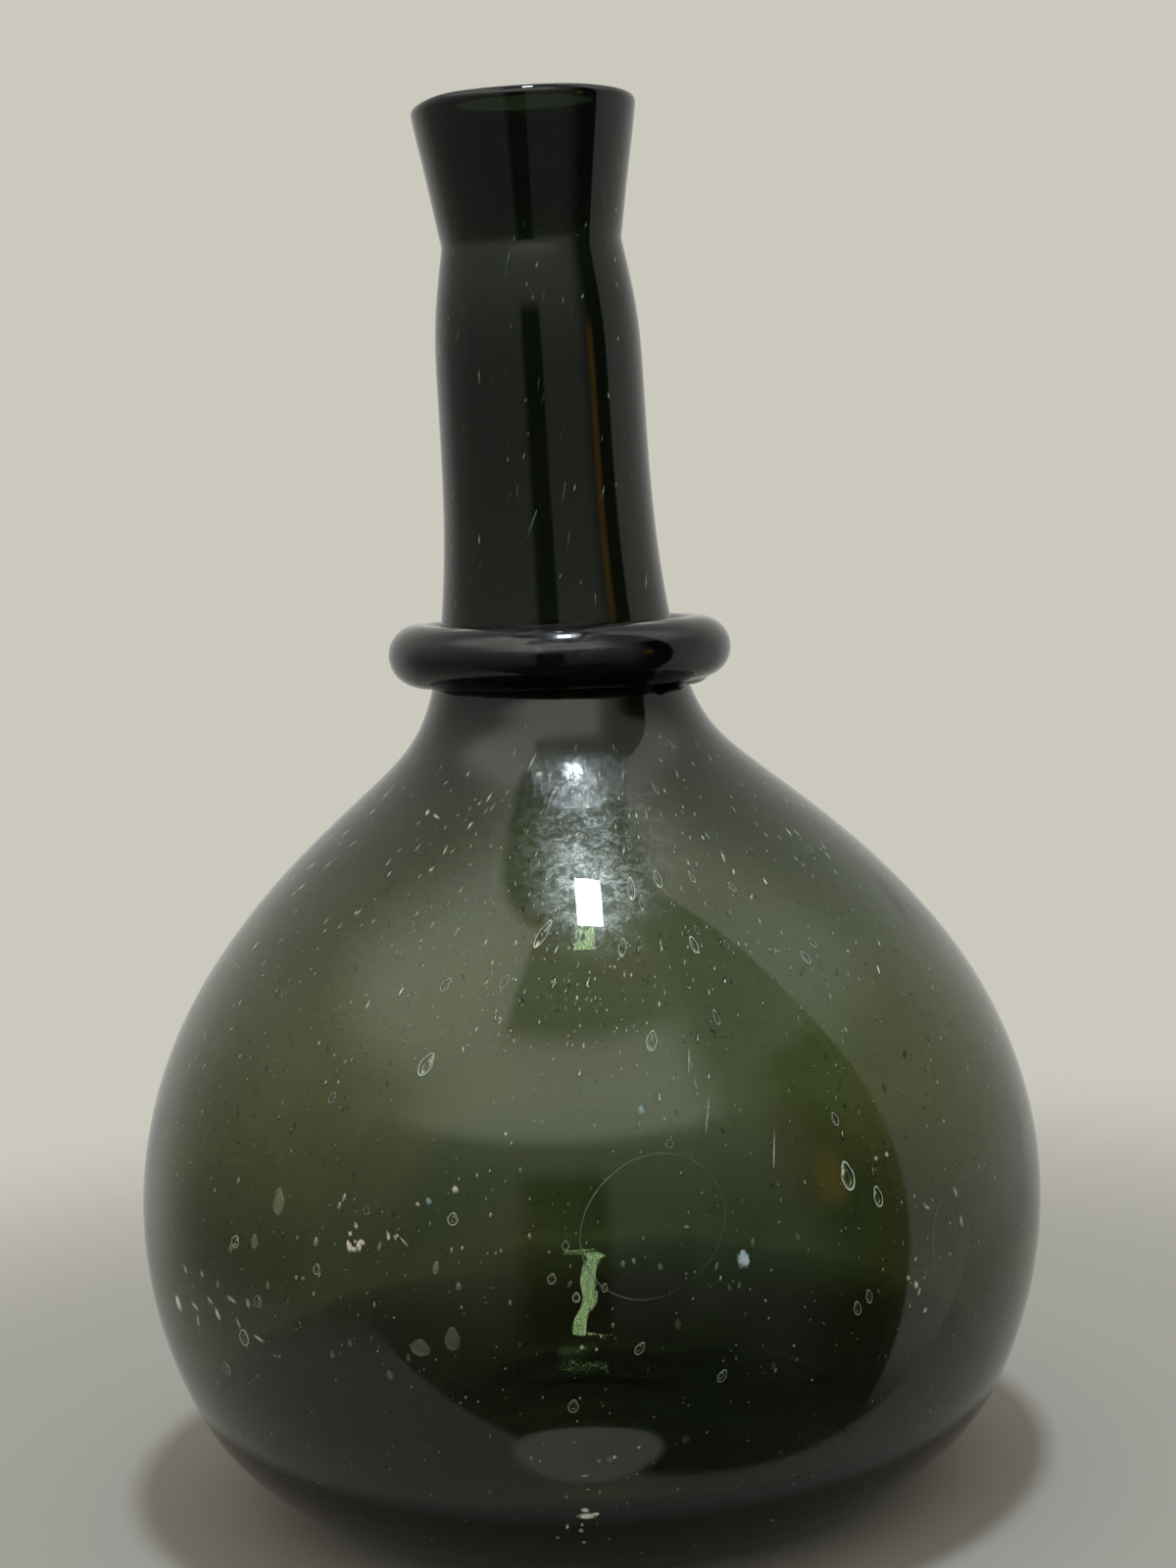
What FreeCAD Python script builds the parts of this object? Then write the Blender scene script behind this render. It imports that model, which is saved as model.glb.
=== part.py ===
"""Free-blown green glass bottle: a hollow onion vessel with a long neck, the trail of glass
wound round the foot of the neck, and the scar that the pontil rod left under the base.

Millimetres, +Z up, standing on z = 0 with the neck on the Z axis. The front is towards -Y.
"""
import FreeCAD
import Part
import math
import os

# Overall sizes
HEIGHT = 275.0
BODY_RADIUS = 90.0
NECK_RADIUS = 20.2
MOUTH_RADIUS = 21.8

# Body: one large arc round the belly, a smaller one round the heel, and the worn ring it stands on
EQUATOR_Z = 58.0
BODY_ARC = 82.5
BODY_ARC_END = 35.0
BEARING_RADIUS = 46.0
WEAR_WIDTH = 4.0
KICK_HEIGHT = 5.0

# Shoulder and foot of the neck, from the bottom up. Each station has its radius beyond the neck's,
# its rise above the shoulder, its slope from the vertical in degrees, and how far its wall has gone
# from the body's to the neck's. Below them the shoulder swells out from a straight cone.
SHOULDER_Z = 143.5
SHOULDER_SWELL = 2.2
NECK_SWEEP = (
    (16.8, 0.0, 51.0, 0.4),
    (9.7, 6.9, 37.0, 0.65),
    (4.9, 16.5, 20.0, 0.85),
    (1.5, 36.0, 6.0, 1.0),
)
SWEEP_RISE = 60.5

# Walls and bore
BODY_WALL = 3.2
BASE_WALL = 4.5
BORE_RADIUS = 13.5

# Mouth, measured down from the rim: where the neck starts to draw in, and the pinched crease
DRAW_IN_DEPTH = 44.0
CREASE_DEPTH = 28.0
CREASE_PINCH = 2.7
CREASE_FILLET = 3.0
RIM_WALL = 5.0

# Trail wound round the foot of the neck and pressed into it, tilted down to the right and up at the front
RING_RISE = 24.0
TRAIL_RADIUS = 6.05
TRAIL_BITE = 1.5
RING_TILT = 1.5
RING_LEAN = 2.0

# Drawn-out tail of the trail, lapped under the ring at the front right and ending in a bead. Each
# station has its angle from the front in degrees, its drop below the ring's middle and its own radius.
TAIL_INSET = 0.45
TAIL_BEAD = 1.5
TAIL = (
    (112.0, 1.2, 4.4),
    (88.0, 3.6, 3.2),
    (66.0, 5.6, 2.0),
    (50.0, 7.0, 1.2),
)

# Pontil scar: a low wad, dished by the rod, its edge broken by chips
SCAR_RADIUS = 18.0
SCAR_EDGE = 1.7
SCAR_MIDDLE = 0.7
CHIP_RADIUS = 5.0
CHIP_DEPTH = 1.6
CHIP_ANGLES = (20.0, 75.0, 150.0, 205.0, 290.0)

CREASE_RADIUS = NECK_RADIUS - CREASE_PINCH
NECK_WALL = NECK_RADIUS - BORE_RADIUS
RING_Z = SHOULDER_Z + RING_RISE

# The trail's seam is turned to the back, clear of the vessel's
SEAM_TURN = 90.0

NEAR = 0.01
AXIS = FreeCAD.Vector(0, 0, 1)
ORIGIN = FreeCAD.Vector(0, 0, 0)


def point(radius, height):
    """A point of a half section, in the plane y = 0."""
    return FreeCAD.Vector(radius, 0, height)


def line(start, end):
    return Part.LineSegment(start, end).toShape()


def arc(center, radius, start, end):
    """An arc of a half section, its angles in degrees from the +X direction."""

    def at(angle):
        turn = math.radians(angle)
        return center + point(radius * math.cos(turn), radius * math.sin(turn))

    return Part.Arc(at(start), at((start + end) / 2), at(end)).toShape()


def spline(points, first_tangent, last_tangent):
    curve = Part.BSplineCurve()
    curve.interpolate(Points=points, InitialTangent=first_tangent, FinalTangent=last_tangent)
    return curve.toShape()


def first_point(edge):
    return edge.valueAt(edge.FirstParameter)


def last_point(edge):
    return edge.valueAt(edge.LastParameter)


def tangent_from(start, end):
    """An arc that leaves start upwards and ends at end, nearer the axis."""
    inward = start.x - end.x
    rise = end.z - start.z
    radius = (inward ** 2 + rise ** 2) / (2 * inward)
    return arc(point(start.x - radius, start.z), radius, 0, math.degrees(math.asin(rise / radius)))


def belly(floor_z, wall):
    """The heel and belly arcs of one skin, from the floor up. The heel touches both floor and belly."""
    center = point(BODY_RADIUS - BODY_ARC, EQUATOR_Z)
    radius = BODY_ARC - wall
    rise = EQUATOR_Z - floor_z
    reach = BEARING_RADIUS - center.x
    heel_radius = (radius ** 2 - rise ** 2 - reach ** 2) / (2 * (radius - rise))
    heel_center = point(BEARING_RADIUS, floor_z + heel_radius)
    meet = math.degrees(math.atan2(heel_center.z - center.z, heel_center.x - center.x))
    heel = arc(heel_center, heel_radius, -90, meet)
    return [heel, arc(center, radius, meet, BODY_ARC_END)]


def shoulder(belly_edge, depth_of_wall, end_radius):
    """The skin from the belly up to the straight neck, its walls taken depth_of_wall times."""
    sweep = []
    for over_neck, rise, slope, wall_share in NECK_SWEEP:
        turn = math.radians(slope)
        inset = depth_of_wall * (BODY_WALL + wall_share * (NECK_WALL - BODY_WALL))
        sweep.append(point(NECK_RADIUS + over_neck - inset * math.cos(turn),
                           SHOULDER_Z + rise - inset * math.sin(turn)))
    sweep.append(point(end_radius, SHOULDER_Z + SWEEP_RISE))
    start = last_point(belly_edge)
    cone = sweep[0] - start
    outward = point(cone.z, -cone.x).normalize()
    swell = (start + sweep[0]) * 0.5 + outward * SHOULDER_SWELL
    return spline([start, swell] + sweep, belly_edge.tangentAt(belly_edge.LastParameter), AXIS)


def radius_at(edge, height):
    """How far from the axis an edge that only rises is at a height, by halving."""
    low, high = edge.FirstParameter, edge.LastParameter
    while high - low > NEAR * NEAR:
        middle = (low + high) / 2
        if edge.valueAt(middle).z < height:
            low = middle
        else:
            high = middle
    return edge.valueAt(low).x


def kick_arc(reach):
    """The dome of the kick-up under the base, from the axis out to reach."""
    span = BEARING_RADIUS - WEAR_WIDTH
    radius = (span ** 2 + KICK_HEIGHT ** 2) / (2 * KICK_HEIGHT)
    center = point(0, KICK_HEIGHT - radius)
    return arc(center, radius, 90, math.degrees(math.acos(reach / radius)))


def outer_skin():
    """Edges of the outside, from the middle of the base to the outer edge of the rim, by name."""
    kick = kick_arc(BEARING_RADIUS - WEAR_WIDTH)
    wear = line(last_point(kick), point(BEARING_RADIUS, 0))
    heel, round_body = belly(0, 0)
    sweep = shoulder(round_body, 0, NECK_RADIUS)
    neck = line(last_point(sweep), point(NECK_RADIUS, HEIGHT - DRAW_IN_DEPTH))
    draw_in = tangent_from(last_point(neck), point(CREASE_RADIUS, HEIGHT - CREASE_DEPTH))
    mouth = line(last_point(draw_in), point(MOUTH_RADIUS, HEIGHT - RIM_WALL / 2))
    return {"kick": kick, "wear": wear, "heel": heel, "body": round_body,
            "sweep": sweep, "neck": neck, "draw_in": draw_in, "mouth": mouth}


def inner_skin():
    """Edges of the inside, from the middle of the floor to the inner edge of the rim."""
    heel, round_body = belly(BASE_WALL, BODY_WALL)
    outward = FreeCAD.Vector(1, 0, 0)
    floor = spline([point(0, KICK_HEIGHT + BASE_WALL), first_point(heel)], outward, outward)
    sweep = shoulder(round_body, 1, BORE_RADIUS)
    bore = line(last_point(sweep), point(BORE_RADIUS, HEIGHT - CREASE_DEPTH))
    mouth = line(last_point(bore), point(MOUTH_RADIUS - RIM_WALL, HEIGHT - RIM_WALL / 2))
    return [floor, heel, round_body, sweep, bore, mouth]


def revolve(edges):
    return Part.Face(Part.Wire(edges)).revolve(ORIGIN, AXIS, 360)


def is_crease(box):
    """Whether an edge with this box is the pinched circle on the outside, under the mouth."""
    crease_z = HEIGHT - CREASE_DEPTH
    level = abs(box.ZMin - crease_z) < NEAR and abs(box.ZMax - crease_z) < NEAR
    return level and abs(box.XMax - CREASE_RADIUS) < NEAR


def make_vessel(outside, inside):
    rim_center = point(MOUTH_RADIUS - RIM_WALL / 2, HEIGHT - RIM_WALL / 2)
    rim = arc(rim_center, RIM_WALL / 2, 0, 180)
    middle = line(first_point(inside[0]), first_point(outside["kick"]))
    vessel = revolve(list(outside.values()) + [rim] + inside[::-1] + [middle])
    crease = [edge for edge in vessel.Edges if is_crease(edge.BoundBox)]
    return vessel.makeFillet(CREASE_FILLET, crease)


def make_envelope(outside):
    """The vessel's outside filled solid, which cuts the seat of what is laid on it."""
    top = last_point(outside["mouth"])
    lid = line(top, point(0, top.z))
    middle = line(point(0, top.z), first_point(outside["kick"]))
    return revolve(list(outside.values()) + [lid, middle])


def tail_section(reach, angle, drop, radius):
    """The middle of the tail at one station, and its circle there, square to its way round the neck."""
    turn = math.radians(angle)
    center = FreeCAD.Vector(reach * math.sin(turn), -reach * math.cos(turn), -drop)
    along = FreeCAD.Vector(math.cos(turn), math.sin(turn), 0)
    return center, Part.Wire(Part.Circle(center, along, radius).toShape())


def make_ring(outside):
    ring_radius = radius_at(outside["sweep"], RING_Z) + TRAIL_RADIUS - TRAIL_BITE
    trail = Part.makeTorus(ring_radius, TRAIL_RADIUS)
    trail.rotate(ORIGIN, AXIS, SEAM_TURN)
    sections = [tail_section(ring_radius - TAIL_INSET, *station) for station in TAIL]
    tail = Part.makeLoft([circle for _, circle in sections], True)
    bead = Part.makeSphere(TAIL_BEAD, sections[-1][0])
    ring = trail.fuse([tail, bead])
    ring.rotate(ORIGIN, FreeCAD.Vector(1, 0, 0), -RING_LEAN)
    ring.rotate(ORIGIN, FreeCAD.Vector(0, 1, 0), RING_TILT)
    ring.translate(FreeCAD.Vector(0, 0, RING_Z))
    return ring.cut(make_envelope(outside))


def make_scar():
    """The wad lies against the dome of the kick-up, so its upper face is a piece of that dome."""
    seat = kick_arc(SCAR_RADIUS)
    edge_z = last_point(seat).z
    lip = arc(point(SCAR_RADIUS - SCAR_EDGE, edge_z), SCAR_EDGE, 0, -90)
    dish = point(0, KICK_HEIGHT - SCAR_MIDDLE)
    inward = FreeCAD.Vector(-1, 0, 0)
    underside = spline([last_point(lip), dish], inward, inward)
    scar = revolve([seat, lip, underside, line(dish, first_point(seat))])
    chips = []
    for angle in CHIP_ANGLES:
        turn = math.radians(angle)
        reach = SCAR_RADIUS + CHIP_RADIUS - CHIP_DEPTH
        center = FreeCAD.Vector(reach * math.cos(turn), reach * math.sin(turn), edge_z - SCAR_EDGE)
        chips.append(Part.makeSphere(CHIP_RADIUS, center))
    return scar.cut(chips)


def main():
    outside = outer_skin()
    pieces = {
        "blown_vessel": make_vessel(outside, inner_skin()),
        "neck_ring": make_ring(outside),
        "pontil_scar": make_scar(),
    }
    os.makedirs("parts", exist_ok=True)
    for node, shape in pieces.items():
        shape.exportStep(f"parts/{node}.step")
        print(node, "solids", len(shape.Solids), "valid", shape.isValid(), "volume", round(shape.Volume, 1))


main()
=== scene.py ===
"""A free-blown onion bottle of dark green glass: vessel, trailed ring, pontil scar, and the seeds,
blisters, bruises, stones and crust that the glass holds.

Metres, +Z up, standing on z = 0 with the neck on the Z axis. The front is towards -Y. Sizes named
here are in millimetres and angles in degrees, unless a comment says otherwise.
"""
import math
import random

import bmesh
import bpy
from mathutils import Matrix, Quaternion, Vector


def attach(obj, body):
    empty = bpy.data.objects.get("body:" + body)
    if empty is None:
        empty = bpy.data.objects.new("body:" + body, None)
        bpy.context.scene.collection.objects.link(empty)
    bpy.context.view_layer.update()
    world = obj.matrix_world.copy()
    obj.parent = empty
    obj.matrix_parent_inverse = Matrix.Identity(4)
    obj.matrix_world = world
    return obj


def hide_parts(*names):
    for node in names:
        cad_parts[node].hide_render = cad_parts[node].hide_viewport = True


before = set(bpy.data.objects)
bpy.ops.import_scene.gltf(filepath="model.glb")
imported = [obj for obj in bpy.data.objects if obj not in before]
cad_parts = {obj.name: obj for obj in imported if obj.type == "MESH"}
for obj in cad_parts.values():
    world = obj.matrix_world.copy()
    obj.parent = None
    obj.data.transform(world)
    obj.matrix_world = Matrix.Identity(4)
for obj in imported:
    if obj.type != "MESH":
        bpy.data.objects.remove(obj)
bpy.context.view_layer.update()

MM = 0.001
BODY = "root"
UP = Vector((0, 0, 1))
SMOOTH_LEVELS = 2

# Camera: the picture is 1200 by 1600 pixels
PICTURE_MIDDLE = (600, 800)
PICTURE_HEIGHT = 1600
FOCAL_PIXELS = 2900
SENSOR = 36
CAMERA_PLACE = (4.4, -560.3, 213.7)
CAMERA_DIP = 7.44
CAMERA_ROLL = -3.6

# Vessel: arcs as (middle's radius and height, own radius), rows as (radius, height)
VESSEL_STEPS = 48
KICK_HEIGHT = 5.0
KICK_DOME = 178.9
KICK_RADII = (9.0, 18.0, 27.0, 35.0, 40.0)
BEARING = ((42.5, 0.0), (44.5, 0.0), (46.5, 0.0))
HEEL = ((46.0, 40.0), 40.0)
HEEL_TURNS = (-78, -68, -58, -48, -38, -29)
HEEL_INSIDE = ((46.0, 42.2), 37.7)
HEEL_INSIDE_TURNS = (-78,)
HEEL_FLAT = ((56.5, 5.24), (79.5, 23.2))
HEEL_FLAT_ROWS = 9
BELLY = ((7.5, 58.0), 82.5)
BELLY_TURNS = (-21, -14, -7, 0, 7, 14, 21, 28, 34)
BELLY_INSIDE = ((7.5, 58.0), 79.3)
BELLY_INSIDE_TURNS = (-20, -11, -2, 7, 16, 25, 33)
BELLY_WALL = 3.2
SHOULDER = ((71.0, 111.0), (62.7, 121.0), (52.5, 130.8), (41.0, 140.4), (34.0, 146.3), (30.2, 150.4),
            (27.6, 154.5), (25.2, 160.3), (22.8, 171.5), (21.6, 181.0), (20.7, 192.0), (20.3, 204.0))
SHOULDER_WALLS = (3.4, 3.7, 4.1, 4.5, 4.9, 5.5, 5.9, 6.2, 6.5, 6.7, 6.7, 6.7)
NECK = ((20.2, 217.0), (20.15, 226.5), (19.75, 232.5), (19.1, 237.5), (18.35, 241.9))
CREASE = ((17.75, 245.4), (17.45, 246.9), (17.7, 248.1))
MOUTH = ((18.3, 251.6), (19.1, 256.6), (20.4, 264.4), (21.2, 269.2), (21.6, 271.9))
LIP = ((21.8, 273.3), (21.45, 274.3), (20.6, 274.82), (19.3, 274.88), (18.0, 274.8), (17.15, 274.2),
       (16.8, 272.9))
BORE = ((16.6, 271.0), (16.1, 267.0), (15.3, 261.0), (14.3, 253.5), (13.6, 247.5), (13.5, 241.0),
        (13.5, 229.0), (13.5, 217.0))
FLOOR_INSIDE = ((42.0, 4.6), (32.0, 6.0), (21.0, 8.0), (10.0, 9.3))

# Hand-blown unevenness: how far it goes, and over what length
OUTSIDE_WAVE = (0.22, 45.0)
INSIDE_WAVE = (0.8, 38.0)
INSIDE_RIPPLE = (0.14, 9.0)
# Heights from which to which it fades in: down from the rim, up the inside of the heel, up from the base
RIM_FADE = (268.0, 250.0)
HEEL_FADE = (20.0, 40.0)
HEEL_LEAST = 0.05
BASE_FADE = (2.0, 32.0)
# The inside faces the axis at its own height, but nowhere lower than this
INSIDE_MIDDLE = 70.0
# Spots of the rim that are pulled down: angle from the front, how far, reach
RIM_TOP = (19.3, 274.9)
RIM_DIP = (-82.0, -1.0, 15.0)
RIM_FALL = (88.0, -0.8, 22.0)
RIM_NOTCH = (-62.0, -0.5, 2.6)
PULL_SPOT = 0.6

# Trail wound round the foot of the neck
RING_RADIUS = 27.75
RING_Z = 167.5
TRAIL_RADIUS = 6.05
RING_STEPS = 160
TRAIL_STEPS = 40
RING_TILT = 1.5
RING_LEAN = 2.0
RING_OFF = 0.5
RING_WAVE = (0.5, 22.0)
# Its drawn-out tail: angle from the front, drop, radius. Melting joins the two
TAIL = ((118.0, 0.6, 4.6), (104.0, 1.9, 4.2), (90.0, 3.4, 3.3), (78.0, 4.6, 2.6), (70.0, 5.3, 1.9),
        (64.0, 5.8, 1.35), (59.0, 6.2, 1.05), (55.5, 6.4, 1.2), (53.0, 6.2, 1.3), (51.0, 5.9, 0.5))
TAIL_INSET = 0.45
TAIL_MERGE = 0.02
MELT_GRAIN = 0.42
MELT_ROUNDS = 6
MELT_SHARE = 0.5

# Pontil scar: rows as (radius, depth under the kick-up's dome)
SCAR_STEPS = 32
SCAR_ROWS = ((4.0, 0.85), (8.0, 1.0), (11.5, 1.35), (14.2, 1.6), (16.4, 1.45), (17.4, 0.9), (17.3, 0.35),
             (16.0, 0.1), (11.0, 0.08), (5.0, 0.08))
SCAR_CLEARANCE = 0.05
# How rough the break is, how far up a broken face may look, and the middle that is left whole
SCAR_BREAK = (0.7, 3.2)
SCAR_FACES_UP = 0.2
SCAR_MIDDLE = 2.0
SCAR_EDGE_ANGLE = 30


def by_hand():
    """Let go of everything, so that the next operator acts only on what it makes."""
    if bpy.context.object and bpy.context.object.mode != "OBJECT":
        bpy.ops.object.mode_set(mode="OBJECT")
    bpy.ops.object.select_all(action="DESELECT")


def take(piece):
    by_hand()
    piece.select_set(True)
    bpy.context.view_layer.objects.active = piece


def named(name):
    piece = bpy.context.object
    piece.name = name
    piece.data.name = name
    return piece


def join(pieces, name):
    by_hand()
    for piece in pieces:
        piece.select_set(True)
    bpy.context.view_layer.objects.active = pieces[0]
    bpy.ops.object.join()
    return named(name)


def apply_modifier(piece, kind, **settings):
    take(piece)
    bpy.ops.object.modifier_add(type=kind)
    modifier = piece.modifiers[-1]
    for setting, value in settings.items():
        setattr(modifier, setting, value)
    bpy.ops.object.modifier_apply(modifier=modifier.name)


def round_off(piece):
    apply_modifier(piece, "SUBSURF", levels=SMOOTH_LEVELS, render_levels=SMOOTH_LEVELS)


def face_outwards(piece, merge=0.0):
    """Merge points that lie closer than a distance, if one is given, and turn all faces outwards."""
    take(piece)
    bpy.ops.object.mode_set(mode="EDIT")
    bpy.ops.mesh.select_all(action="SELECT")
    if merge:
        bpy.ops.mesh.remove_doubles(threshold=merge)
    bpy.ops.mesh.normals_make_consistent(inside=False)
    bpy.ops.object.mode_set(mode="OBJECT")


def select_where(piece, test):
    """In edit mode, select only the points whose place passes a test."""
    bpy.ops.mesh.select_all(action="DESELECT")
    shape = bmesh.from_edit_mesh(piece.data)
    for vertex in shape.verts:
        vertex.select_set(bool(test(vertex.co)))
    shape.select_flush(True)
    bmesh.update_edit_mesh(piece.data)


def faded(value, none, full):
    """From 0 at one value to 1 at another."""
    return min(max((value - none) / (full - none), 0), 1)


def along_arc(arc, angles):
    (radius, height), reach = arc
    turns = [math.radians(angle) for angle in angles]
    return [(radius + reach * math.cos(turn), height + reach * math.sin(turn)) for turn in turns]


def along_line(start, end, count):
    shares = [step / (count - 1) for step in range(count)]
    return [tuple(first + (last - first) * share for first, last in zip(start, end)) for share in shares]


def round_neck(angle, radius, height):
    """A point round the axis, its angle from the front towards the right."""
    turn = math.radians(angle)
    return Vector((radius * math.sin(turn), -radius * math.cos(turn), height)) * MM


def inset(rows, walls):
    """Rows of the inside, each its wall's thickness in from a row of the outside."""
    inner = []
    for place, wall in enumerate(walls):
        before = rows[max(place - 1, 0)]
        after = rows[min(place + 1, len(rows) - 1)]
        run = Vector((after[0] - before[0], after[1] - before[1])).normalized()
        radius, height = rows[place]
        inner.append((radius - run.y * wall, height + run.x * wall))
    return inner


def turn_rows(name, rows, steps):
    """Draw a ring of edges out from one row to the next, and close both ends on the axis."""
    # Rounding off draws a ring of so many steps inwards, so it starts larger by that much
    roundness = 3 / (2 + math.cos(2 * math.pi / steps))
    rows = [(radius * MM * roundness, height * MM) for radius, height in rows]
    radius, height = rows[0]
    by_hand()
    bpy.ops.mesh.primitive_circle_add(vertices=steps, radius=radius, fill_type="TRIFAN")
    piece = named(name)
    bpy.ops.object.mode_set(mode="EDIT")
    bpy.ops.transform.translate(value=(0, 0, height))
    select_where(piece, lambda place: place.xy.length > radius / 2)
    for next_radius, next_height in rows[1:]:
        bpy.ops.mesh.extrude_edges_move(TRANSFORM_OT_translate={"value": (0, 0, next_height - height)})
        share = next_radius / radius
        bpy.ops.transform.resize(value=(share, share, 1), center_override=(0, 0, next_height))
        radius, height = next_radius, next_height
    bpy.ops.mesh.extrude_edges_move(TRANSFORM_OT_translate={"value": (0, 0, 0)})
    bpy.ops.mesh.merge(type="CENTER")
    bpy.ops.mesh.select_all(action="SELECT")
    bpy.ops.mesh.normals_make_consistent(inside=False)
    bpy.ops.object.mode_set(mode="OBJECT")
    return piece


def share_out(piece, name, share):
    """A vertex group whose weight at each point is worked out from its place and normal."""
    group = piece.vertex_groups.new(name=name)
    for vertex in piece.data.vertices:
        group.add([vertex.index], share(vertex.co / MM, vertex.normal), "REPLACE")


def ripple(piece, wave, group=""):
    """Push the surface in and out by smooth noise."""
    depth, length = wave
    clouds = bpy.data.textures.new(f"{piece.name}_{length:g}", "CLOUDS")
    clouds.noise_scale = length * MM
    clouds.noise_depth = 1
    apply_modifier(piece, "DISPLACE", texture=clouds, texture_coords="LOCAL", strength=depth * MM,
                   mid_level=0.5, vertex_group=group)


def pull(piece, place, move, reach):
    """In edit mode, pull a spot of the surface and what lies near it, fading over a reach."""
    nearest = min((vertex.co - place).length for vertex in piece.data.vertices)
    select_where(piece, lambda point: (point - place).length < nearest + PULL_SPOT * MM)
    bpy.ops.transform.translate(value=move, use_proportional_edit=True, use_proportional_connected=False,
                                proportional_edit_falloff="SMOOTH", proportional_size=reach * MM)


def kick_height(radius):
    return KICK_HEIGHT - KICK_DOME + math.sqrt(KICK_DOME ** 2 - radius ** 2)


def inside_share(place, normal):
    """Whether a point is on the inside, fading out towards the rim and less at the heel."""
    middle = Vector((0, 0, max(place.z, INSIDE_MIDDLE)))
    if normal.dot(place - middle) >= 0:
        return 0
    return faded(place.z, *RIM_FADE) * max(faded(place.z, *HEEL_FADE), HEEL_LEAST)


def outside_share(place, normal):
    """The outside, but not the ring that it stands on."""
    return 0 if inside_share(place, normal) else faded(place.z, *BASE_FADE)


def blow_vessel():
    outside = [(radius, kick_height(radius)) for radius in KICK_RADII] + list(BEARING)
    outside += along_arc(HEEL, HEEL_TURNS) + along_arc(BELLY, BELLY_TURNS)
    inside = along_arc(HEEL_INSIDE, HEEL_INSIDE_TURNS) + along_line(*HEEL_FLAT, HEEL_FLAT_ROWS)
    inside += along_arc(BELLY_INSIDE, BELLY_INSIDE_TURNS)
    shoulder = outside[-1:] + list(SHOULDER) + list(NECK[:1])
    inside += inset(shoulder, (BELLY_WALL,) + SHOULDER_WALLS)[1:]
    upper = SHOULDER + NECK + CREASE + MOUTH + LIP + BORE
    rows = outside + list(upper) + inside[::-1] + list(FLOOR_INSIDE)
    piece = turn_rows("blown_vessel_glass", rows, VESSEL_STEPS)
    round_off(piece)
    share_out(piece, "inside", inside_share)
    share_out(piece, "outside", outside_share)
    ripple(piece, OUTSIDE_WAVE, "outside")
    ripple(piece, INSIDE_WAVE, "inside")
    ripple(piece, INSIDE_RIPPLE, "inside")
    bpy.ops.object.mode_set(mode="EDIT")
    for angle, drop, reach in (RIM_DIP, RIM_FALL, RIM_NOTCH):
        pull(piece, round_neck(angle, *RIM_TOP), (0, 0, drop * MM), reach)
    bpy.ops.object.mode_set(mode="OBJECT")
    bpy.ops.object.shade_smooth()
    return piece


def draw_tail():
    """The trail's end, drawn out along the ring's underside."""
    by_hand()
    bpy.ops.curve.primitive_nurbs_path_add()
    tail = named("tail")
    tail.data.splines.clear()
    spline = tail.data.splines.new("NURBS")
    spline.points.add(len(TAIL) - 1)
    for point, (angle, drop, radius) in zip(spline.points, TAIL):
        point.co = round_neck(angle, RING_RADIUS - TAIL_INSET, -drop).to_4d()
        point.radius = radius
    spline.order_u = 3
    spline.use_endpoint_u = True
    spline.resolution_u = 8
    tail.data.bevel_depth = MM
    tail.data.bevel_resolution = 5
    tail.data.use_fill_caps = True
    bpy.ops.object.convert(target="MESH")
    tail = bpy.context.object
    face_outwards(tail, TAIL_MERGE * MM)
    return tail


def wind_ring():
    """The trail, wound once and uneven, with its tail joined to it."""
    by_hand()
    bpy.ops.mesh.primitive_torus_add(major_radius=RING_RADIUS * MM, minor_radius=TRAIL_RADIUS * MM,
                                     major_segments=RING_STEPS, minor_segments=TRAIL_STEPS)
    ring = named("neck_ring_trail")
    ripple(ring, RING_WAVE)
    tail = draw_tail()
    apply_modifier(ring, "BOOLEAN", operation="UNION", solver="EXACT", object=tail)
    bpy.data.objects.remove(tail)
    apply_modifier(ring, "REMESH", mode="VOXEL", voxel_size=MELT_GRAIN * MM)
    apply_modifier(ring, "SMOOTH", factor=MELT_SHARE, iterations=MELT_ROUNDS)
    face_outwards(ring)
    ring.data.transform(Matrix.Translation((RING_OFF * MM, 0, RING_Z * MM))
                        @ Matrix.Rotation(math.radians(RING_TILT), 4, "Y")
                        @ Matrix.Rotation(-math.radians(RING_LEAN), 4, "X"))
    take(ring)
    bpy.ops.object.shade_smooth()
    return ring


def scar_share(place, normal):
    """Whether a point of the scar is on its broken edge or underside."""
    return 1 if normal.z < SCAR_FACES_UP and place.xy.length > SCAR_MIDDLE else 0


def break_scar():
    """The wad under the kick-up: its upper face follows the dome, its edge and underside are broken."""
    rows = [(radius, kick_height(radius) - SCAR_CLEARANCE - drop) for radius, drop in SCAR_ROWS]
    scar = turn_rows("pontil_scar_glass", rows, SCAR_STEPS)
    round_off(scar)
    share_out(scar, "broken", scar_share)
    ripple(scar, SCAR_BREAK, "broken")
    bpy.ops.object.shade_smooth_by_angle(angle=math.radians(SCAR_EDGE_ANGLE))
    return scar


def add_node(tree, kind, inputs, **settings):
    """A new node, each of its named inputs linked to a socket or set to a value."""
    node = tree.nodes.new(kind)
    for setting, value in settings.items():
        setattr(node, setting, value)
    for name, value in inputs.items():
        if isinstance(value, bpy.types.NodeSocket):
            tree.links.new(value, node.inputs[name])
        else:
            node.inputs[name].default_value = value
    return node


def math_of(tree, operation, first, second=0.0):
    return add_node(tree, "ShaderNodeMath", {0: first, 1: second}, operation=operation).outputs[0]


def times(tree, value, *shares):
    for share in shares:
        value = math_of(tree, "MULTIPLY", value, share)
    return value


def scaled(tree, value, share, rest):
    """A share of a value, and a rest that is always there."""
    return math_of(tree, "ADD", times(tree, value, share), rest)


def smooth_step(tree, value, low, high):
    step = add_node(tree, "ShaderNodeMapRange", {"Value": value, "From Min": low, "From Max": high},
                    interpolation_type="SMOOTHSTEP")
    return step.outputs["Result"]


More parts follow.
